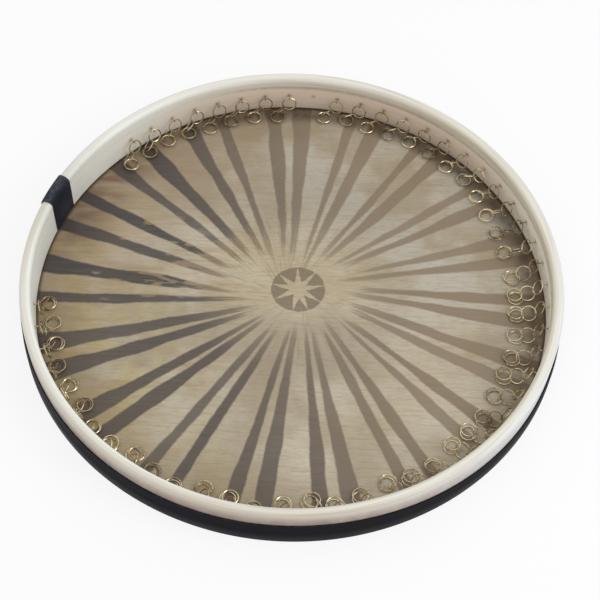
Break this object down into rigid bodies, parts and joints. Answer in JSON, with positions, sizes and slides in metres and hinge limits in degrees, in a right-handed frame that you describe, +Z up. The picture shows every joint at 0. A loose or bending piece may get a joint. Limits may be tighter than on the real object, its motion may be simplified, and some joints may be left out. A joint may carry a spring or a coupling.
{
  "type": "daf frame drum",
  "caption": "Wide shallow frame drum lying skin down: bent wood hoop, goatskin head, black leather edge band and hand grip, with chains of brass jingle rings hung inside.",
  "frame": {"origin": "centre of the skin's playing side, on the surface that the drum lies on", "axes": "+Z up through the drum to its open back, -Y towards the viewer of the picture, +X to the picture's right"},
  "size_m": [0.5298, 0.5298, 0.0475],
  "materials": {
    "hoop_wood": "pale bent hardwood under a thin satin varnish",
    "goatskin": "scraped goatskin, matt, beige, with painted dark rays and a small rosette",
    "band_leather": "black leather strip, dull",
    "wrap_leather": "blue-black leather, soft sheen",
    "ring_brass": "brass-plated wire rings, bright"
  },
  "bodies": {
    "drum": {"hoop": "hoop_wood", "skin_head": "goatskin", "edge_band": "band_leather", "grip_wrap": "wrap_leather"},
    "ring_chain_01": {"ring_chain_01": "ring_brass"},
    "ring_chain_02": {"ring_chain_02": "ring_brass"},
    "ring_chain_03": {"ring_chain_03": "ring_brass"},
    "ring_chain_04": {"ring_chain_04": "ring_brass"},
    "ring_chain_05": {"ring_chain_05": "ring_brass"},
    "ring_chain_06": {"ring_chain_06": "ring_brass"},
    "ring_chain_07": {"ring_chain_07": "ring_brass"},
    "ring_chain_08": {"ring_chain_08": "ring_brass"},
    "ring_chain_09": {"ring_chain_09": "ring_brass"},
    "ring_chain_10": {"ring_chain_10": "ring_brass"},
    "ring_chain_11": {"ring_chain_11": "ring_brass"},
    "ring_chain_12": {"ring_chain_12": "ring_brass"},
    "ring_chain_13": {"ring_chain_13": "ring_brass"},
    "ring_chain_14": {"ring_chain_14": "ring_brass"},
    "ring_chain_15": {"ring_chain_15": "ring_brass"},
    "ring_chain_16": {"ring_chain_16": "ring_brass"},
    "ring_chain_17": {"ring_chain_17": "ring_brass"},
    "ring_chain_18": {"ring_chain_18": "ring_brass"},
    "ring_chain_19": {"ring_chain_19": "ring_brass"},
    "ring_chain_20": {"ring_chain_20": "ring_brass"},
    "ring_chain_21": {"ring_chain_21": "ring_brass"},
    "ring_chain_22": {"ring_chain_22": "ring_brass"},
    "ring_chain_23": {"ring_chain_23": "ring_brass"},
    "ring_chain_24": {"ring_chain_24": "ring_brass"},
    "ring_chain_25": {"ring_chain_25": "ring_brass"},
    "ring_chain_26": {"ring_chain_26": "ring_brass"},
    "ring_chain_27": {"ring_chain_27": "ring_brass"},
    "ring_chain_28": {"ring_chain_28": "ring_brass"},
    "ring_chain_29": {"ring_chain_29": "ring_brass"},
    "ring_chain_30": {"ring_chain_30": "ring_brass"},
    "ring_chain_31": {"ring_chain_31": "ring_brass"},
    "ring_chain_32": {"ring_chain_32": "ring_brass"},
    "ring_chain_33": {"ring_chain_33": "ring_brass"},
    "ring_chain_34": {"ring_chain_34": "ring_brass"},
    "ring_chain_35": {"ring_chain_35": "ring_brass"},
    "ring_chain_36": {"ring_chain_36": "ring_brass"},
    "ring_chain_37": {"ring_chain_37": "ring_brass"},
    "ring_chain_38": {"ring_chain_38": "ring_brass"},
    "ring_chain_39": {"ring_chain_39": "ring_brass"},
    "ring_chain_40": {"ring_chain_40": "ring_brass"},
    "ring_chain_41": {"ring_chain_41": "ring_brass"},
    "ring_chain_42": {"ring_chain_42": "ring_brass"},
    "ring_chain_43": {"ring_chain_43": "ring_brass"},
    "ring_chain_44": {"ring_chain_44": "ring_brass"},
    "ring_chain_45": {"ring_chain_45": "ring_brass"},
    "ring_chain_46": {"ring_chain_46": "ring_brass"},
    "ring_chain_47": {"ring_chain_47": "ring_brass"},
    "ring_chain_48": {"ring_chain_48": "ring_brass"},
    "ring_chain_49": {"ring_chain_49": "ring_brass"},
    "ring_chain_50": {"ring_chain_50": "ring_brass"},
    "ring_chain_51": {"ring_chain_51": "ring_brass"}
  },
  "joints": [
    {"name": "ring_chain_01_swing", "type": "hinge", "parent": "drum", "child": "ring_chain_01", "pos_m": [-0.24465, -0.03744, 0.02223], "axis": [0.1513, -0.9885, 0], "range_deg": [0, 115]},
    {"name": "ring_chain_02_swing", "type": "hinge", "parent": "drum", "child": "ring_chain_02", "pos_m": [-0.23939, -0.06285, 0.02223], "axis": [0.2539, -0.9672, 0], "range_deg": [0, 115]},
    {"name": "ring_chain_03_swing", "type": "hinge", "parent": "drum", "child": "ring_chain_03", "pos_m": [-0.23149, -0.08756, 0.02223], "axis": [0.3538, -0.9353, 0], "range_deg": [0, 115]},
    {"name": "ring_chain_04_swing", "type": "hinge", "parent": "drum", "child": "ring_chain_04", "pos_m": [-0.22105, -0.11132, 0.02223], "axis": [0.4498, -0.8931, 0], "range_deg": [0, 115]},
    {"name": "ring_chain_05_swing", "type": "hinge", "parent": "drum", "child": "ring_chain_05", "pos_m": [-0.20818, -0.13385, 0.02223], "axis": [0.5408, -0.8411, 0], "range_deg": [0, 115]},
    {"name": "ring_chain_06_swing", "type": "hinge", "parent": "drum", "child": "ring_chain_06", "pos_m": [-0.19302, -0.15491, 0.02223], "axis": [0.6259, -0.7799, 0], "range_deg": [0, 115]},
    {"name": "ring_chain_07_swing", "type": "hinge", "parent": "drum", "child": "ring_chain_07", "pos_m": [-0.17574, -0.17427, 0.02223], "axis": [0.7041, -0.7101, 0], "range_deg": [0, 115]},
    {"name": "ring_chain_08_swing", "type": "hinge", "parent": "drum", "child": "ring_chain_08", "pos_m": [-0.15653, -0.19171, 0.02223], "axis": [0.7746, -0.6325, 0], "range_deg": [0, 115]},
    {"name": "ring_chain_09_swing", "type": "hinge", "parent": "drum", "child": "ring_chain_09", "pos_m": [-0.1356, -0.20705, 0.02223], "axis": [0.8366, -0.5479, 0], "range_deg": [0, 115]},
    {"name": "ring_chain_10_swing", "type": "hinge", "parent": "drum", "child": "ring_chain_10", "pos_m": [-0.11318, -0.22011, 0.02223], "axis": [0.8893, -0.4573, 0], "range_deg": [0, 115]},
    {"name": "ring_chain_11_swing", "type": "hinge", "parent": "drum", "child": "ring_chain_11", "pos_m": [-0.08951, -0.23075, 0.02223], "axis": [0.9323, -0.3617, 0], "range_deg": [0, 115]},
    {"name": "ring_chain_12_swing", "type": "hinge", "parent": "drum", "child": "ring_chain_12", "pos_m": [-0.06486, -0.23885, 0.02223], "axis": [0.9651, -0.2621, 0], "range_deg": [0, 115]},
    {"name": "ring_chain_13_swing", "type": "hinge", "parent": "drum", "child": "ring_chain_13", "pos_m": [-0.0395, -0.24433, 0.02223], "axis": [0.9872, -0.1596, 0], "range_deg": [0, 115]},
    {"name": "ring_chain_14_swing", "type": "hinge", "parent": "drum", "child": "ring_chain_14", "pos_m": [-0.0137, -0.24712, 0.02223], "axis": [0.9985, -0.0553, 0], "range_deg": [0, 115]},
    {"name": "ring_chain_15_swing", "type": "hinge", "parent": "drum", "child": "ring_chain_15", "pos_m": [0.01225, -0.2472, 0.02223], "axis": [0.9988, 0.0495, 0], "range_deg": [0, 115]},
    {"name": "ring_chain_16_swing", "type": "hinge", "parent": "drum", "child": "ring_chain_16", "pos_m": [0.03807, -0.24455, 0.02223], "axis": [0.9881, 0.1538, 0], "range_deg": [0, 115]},
    {"name": "ring_chain_17_swing", "type": "hinge", "parent": "drum", "child": "ring_chain_17", "pos_m": [0.06346, -0.23923, 0.02223], "axis": [0.9666, 0.2564, 0], "range_deg": [0, 115]},
    {"name": "ring_chain_18_swing", "type": "hinge", "parent": "drum", "child": "ring_chain_18", "pos_m": [0.08816, -0.23127, 0.02223], "axis": [0.9344, 0.3562, 0], "range_deg": [0, 115]},
    {"name": "ring_chain_19_swing", "type": "hinge", "parent": "drum", "child": "ring_chain_19", "pos_m": [0.11189, -0.22077, 0.02223], "axis": [0.892, 0.4521, 0], "range_deg": [0, 115]},
    {"name": "ring_chain_20_swing", "type": "hinge", "parent": "drum", "child": "ring_chain_20", "pos_m": [0.13439, -0.20784, 0.02223], "axis": [0.8398, 0.543, 0], "range_deg": [0, 115]},
    {"name": "ring_chain_21_swing", "type": "hinge", "parent": "drum", "child": "ring_chain_21", "pos_m": [0.15541, -0.19263, 0.02223], "axis": [0.7783, 0.6279, 0], "range_deg": [0, 115]},
    {"name": "ring_chain_22_swing", "type": "hinge", "parent": "drum", "child": "ring_chain_22", "pos_m": [0.17472, -0.1753, 0.02223], "axis": [0.7083, 0.7059, 0], "range_deg": [0, 115]},
    {"name": "ring_chain_23_swing", "type": "hinge", "parent": "drum", "child": "ring_chain_23", "pos_m": [0.19211, -0.15604, 0.02223], "axis": [0.6305, 0.7762, 0], "range_deg": [0, 115]},
    {"name": "ring_chain_24_swing", "type": "hinge", "parent": "drum", "child": "ring_chain_24", "pos_m": [0.20739, -0.13507, 0.02223], "axis": [0.5457, 0.838, 0], "range_deg": [0, 115]},
    {"name": "ring_chain_25_swing", "type": "hinge", "parent": "drum", "child": "ring_chain_25", "pos_m": [0.2204, -0.11261, 0.02223], "axis": [0.455, 0.8905, 0], "range_deg": [0, 115]},
    {"name": "ring_chain_26_swing", "type": "hinge", "parent": "drum", "child": "ring_chain_26", "pos_m": [0.23098, -0.08892, 0.02223], "axis": [0.3593, 0.9332, 0], "range_deg": [0, 115]},
    {"name": "ring_chain_27_swing", "type": "hinge", "parent": "drum", "child": "ring_chain_27", "pos_m": [0.23902, -0.06425, 0.02223], "axis": [0.2596, 0.9657, 0], "range_deg": [0, 115]},
    {"name": "ring_chain_28_swing", "type": "hinge", "parent": "drum", "child": "ring_chain_28", "pos_m": [0.24443, -0.03887, 0.02223], "axis": [0.157, 0.9876, 0], "range_deg": [0, 115]},
    {"name": "ring_chain_29_swing", "type": "hinge", "parent": "drum", "child": "ring_chain_29", "pos_m": [0.24716, -0.01306, 0.02223], "axis": [0.0528, 0.9986, 0], "range_deg": [0, 115]},
    {"name": "ring_chain_30_swing", "type": "hinge", "parent": "drum", "child": "ring_chain_30", "pos_m": [0.24716, 0.01289, 0.02223], "axis": [-0.0521, 0.9986, 0], "range_deg": [0, 115]},
    {"name": "ring_chain_31_swing", "type": "hinge", "parent": "drum", "child": "ring_chain_31", "pos_m": [0.24446, 0.03869, 0.02223], "axis": [-0.1563, 0.9877, 0], "range_deg": [0, 115]},
    {"name": "ring_chain_32_swing", "type": "hinge", "parent": "drum", "child": "ring_chain_32", "pos_m": [0.23906, 0.06407, 0.02223], "axis": [-0.2589, 0.9659, 0], "range_deg": [0, 115]},
    {"name": "ring_chain_33_swing", "type": "hinge", "parent": "drum", "child": "ring_chain_33", "pos_m": [0.23104, 0.08875, 0.02223], "axis": [-0.3586, 0.9335, 0], "range_deg": [0, 115]},
    {"name": "ring_chain_34_swing", "type": "hinge", "parent": "drum", "child": "ring_chain_34", "pos_m": [0.22048, 0.11245, 0.02223], "axis": [-0.4544, 0.8908, 0], "range_deg": [0, 115]},
    {"name": "ring_chain_35_swing", "type": "hinge", "parent": "drum", "child": "ring_chain_35", "pos_m": [0.20749, 0.13492, 0.02223], "axis": [-0.5451, 0.8384, 0], "range_deg": [0, 115]},
    {"name": "ring_chain_36_swing", "type": "hinge", "parent": "drum", "child": "ring_chain_36", "pos_m": [0.19223, 0.1559, 0.02223], "axis": [-0.6299, 0.7767, 0], "range_deg": [0, 115]},
    {"name": "ring_chain_37_swing", "type": "hinge", "parent": "drum", "child": "ring_chain_37", "pos_m": [0.17485, 0.17517, 0.02223], "axis": [-0.7078, 0.7065, 0], "range_deg": [0, 115]},
    {"name": "ring_chain_38_swing", "type": "hinge", "parent": "drum", "child": "ring_chain_38", "pos_m": [0.15555, 0.19251, 0.02223], "axis": [-0.7778, 0.6285, 0], "range_deg": [0, 115]},
    {"name": "ring_chain_39_swing", "type": "hinge", "parent": "drum", "child": "ring_chain_39", "pos_m": [0.13453, 0.20774, 0.02223], "axis": [-0.8394, 0.5436, 0], "range_deg": [0, 115]},
    {"name": "ring_chain_40_swing", "type": "hinge", "parent": "drum", "child": "ring_chain_40", "pos_m": [0.11205, 0.22068, 0.02223], "axis": [-0.8917, 0.4527, 0], "range_deg": [0, 115]},
    {"name": "ring_chain_41_swing", "type": "hinge", "parent": "drum", "child": "ring_chain_41", "pos_m": [0.08832, 0.2312, 0.02223], "axis": [-0.9342, 0.3569, 0], "range_deg": [0, 115]},
    {"name": "ring_chain_42_swing", "type": "hinge", "parent": "drum", "child": "ring_chain_42", "pos_m": [0.06363, 0.23918, 0.02223], "axis": [-0.9664, 0.2571, 0], "range_deg": [0, 115]},
    {"name": "ring_chain_43_swing", "type": "hinge", "parent": "drum", "child": "ring_chain_43", "pos_m": [0.03824, 0.24453, 0.02223], "axis": [-0.988, 0.1545, 0], "range_deg": [0, 115]},
    {"name": "ring_chain_44_swing", "type": "hinge", "parent": "drum", "child": "ring_chain_44", "pos_m": [-0.01352, 0.24713, 0.02223], "axis": [-0.9985, -0.0546, 0], "range_deg": [0, 115]},
    {"name": "ring_chain_45_swing", "type": "hinge", "parent": "drum", "child": "ring_chain_45", "pos_m": [-0.03932, 0.24436, 0.02223], "axis": [-0.9873, -0.1589, 0], "range_deg": [0, 115]},
    {"name": "ring_chain_46_swing", "type": "hinge", "parent": "drum", "child": "ring_chain_46", "pos_m": [-0.06469, 0.2389, 0.02223], "axis": [-0.9652, -0.2614, 0], "range_deg": [0, 115]},
    {"name": "ring_chain_47_swing", "type": "hinge", "parent": "drum", "child": "ring_chain_47", "pos_m": [-0.08934, 0.23081, 0.02223], "axis": [-0.9326, -0.361, 0], "range_deg": [0, 115]},
    {"name": "ring_chain_48_swing", "type": "hinge", "parent": "drum", "child": "ring_chain_48", "pos_m": [-0.11302, 0.22019, 0.02223], "axis": [-0.8897, -0.4566, 0], "range_deg": [0, 115]},
    {"name": "ring_chain_49_swing", "type": "hinge", "parent": "drum", "child": "ring_chain_49", "pos_m": [-0.13545, 0.20715, 0.02223], "axis": [-0.837, -0.5473, 0], "range_deg": [0, 115]},
    {"name": "ring_chain_50_swing", "type": "hinge", "parent": "drum", "child": "ring_chain_50", "pos_m": [-0.15639, 0.19183, 0.02223], "axis": [-0.7751, -0.6319, 0], "range_deg": [0, 115]},
    {"name": "ring_chain_51_swing", "type": "hinge", "parent": "drum", "child": "ring_chain_51", "pos_m": [-0.17562, 0.1744, 0.02223], "axis": [-0.7046, -0.7096, 0], "range_deg": [0, 115]}
  ]
}
